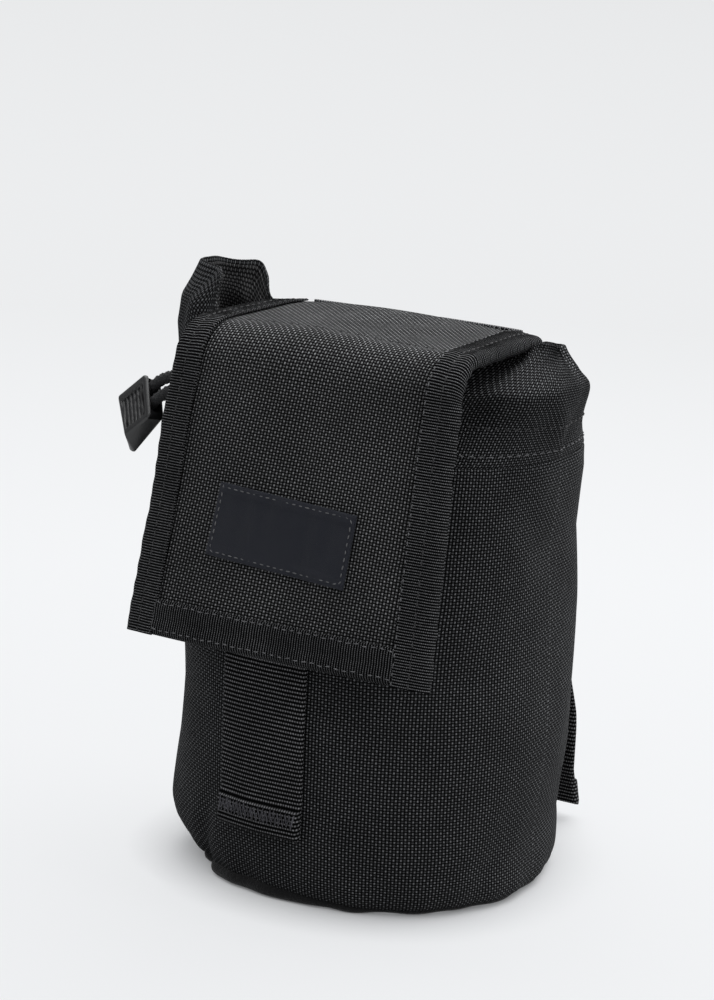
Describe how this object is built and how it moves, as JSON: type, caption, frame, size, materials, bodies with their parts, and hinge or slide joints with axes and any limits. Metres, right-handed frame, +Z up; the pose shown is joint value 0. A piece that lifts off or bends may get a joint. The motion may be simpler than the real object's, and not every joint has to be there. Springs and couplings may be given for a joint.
{
  "type": "roll-up pouch",
  "caption": "Soft woven belt pouch that rolls up, with a drawcord mouth, a bound fold-over flap, a front webbing strap and snap-closed back straps.",
  "frame": {"origin": "centre of the base's underside, on the surface it stands on", "axes": "+Z up towards the mouth, -Y towards the front with the flap and strap, +X to the right seen from the front"},
  "size_m": [0.1198, 0.1178, 0.156],
  "materials": {
    "woven_nylon": "coarse plain weave, dull",
    "binding_tape": "ribbed tape",
    "webbing": "ribbed webbing",
    "lining": "coated back of the weave",
    "touch_fastener": "napped",
    "label_weave": "fine satin weave",
    "cord": "braided",
    "moulded_plastic": "satin",
    "snap_metal": "black oxide",
    "spring_steel": "drawn wire"
  },
  "bodies": {
    "pouch": {"bag_tube": "woven_nylon", "base_panel": "woven_nylon", "base_seam_binding": "binding_tape", "collar": "woven_nylon", "hem_facing": "lining", "drawcord": "cord", "cord_lock_body": "moulded_plastic", "cord_lock_spring": "spring_steel", "front_strap": "webbing", "loop_patch": "touch_fastener", "back_strap_left": "webbing", "back_strap_right": "webbing", "webbing_row_1": "webbing", "webbing_row_2": "webbing", "snap_stud_left": "snap_metal", "snap_stud_right": "snap_metal", "snap_post_left": "snap_metal", "snap_post_right": "snap_metal"},
    "flap_top": {"flap_top_panel": "woven_nylon", "flap_top_binding_left": "binding_tape", "flap_top_binding_right": "binding_tape"},
    "flap_front": {"flap_front_panel": "woven_nylon", "flap_front_binding_left": "binding_tape", "flap_front_binding_right": "binding_tape", "flap_front_binding_hem": "binding_tape", "label": "label_weave", "hook_patch": "touch_fastener"},
    "lock_button": {"cord_lock_button": "moulded_plastic"},
    "pull_tab": {"pull_tab": "moulded_plastic"},
    "strap_end_left": {"back_strap_end_left": "webbing", "snap_cap_left": "snap_metal", "snap_socket_left": "snap_metal"},
    "strap_end_right": {"back_strap_end_right": "webbing", "snap_cap_right": "snap_metal", "snap_socket_right": "snap_metal"}
  },
  "joints": [
    {"name": "flap_lift", "type": "hinge", "parent": "pouch", "child": "flap_top", "pos_m": [0, 0.0148, 0.1474], "axis": [-1, 0, 0], "range_deg": [0, 140]},
    {"name": "flap_fold", "type": "hinge", "parent": "flap_top", "child": "flap_front", "pos_m": [0, -0.04073, 0.13662], "axis": [-1, 0, 0], "range_deg": [0, 75]},
    {"name": "lock_press", "type": "slide", "parent": "pouch", "child": "lock_button", "axis": [0, -0.3335, -0.9428], "range_m": [0, 0.0025], "stiffness_N_per_m": 300, "springref_m": -0.002, "deforming": ["cord_lock_spring"]},
    {"name": "tab_swing", "type": "hinge", "parent": "pouch", "child": "pull_tab", "pos_m": [-0.05639, -0.03133, 0.12207], "axis": [-0.4134, -0.8165, 0.403], "range_deg": [-20, 20]},
    {"name": "strap_end_left_swing", "type": "hinge", "parent": "pouch", "child": "strap_end_left", "pos_m": [-0.01905, 0.0504, 0.0523], "axis": [1, 0, 0], "range_deg": [0, 80]},
    {"name": "strap_end_right_swing", "type": "hinge", "parent": "pouch", "child": "strap_end_right", "pos_m": [0.01905, 0.0504, 0.0523], "axis": [1, 0, 0], "range_deg": [0, 80]}
  ]
}
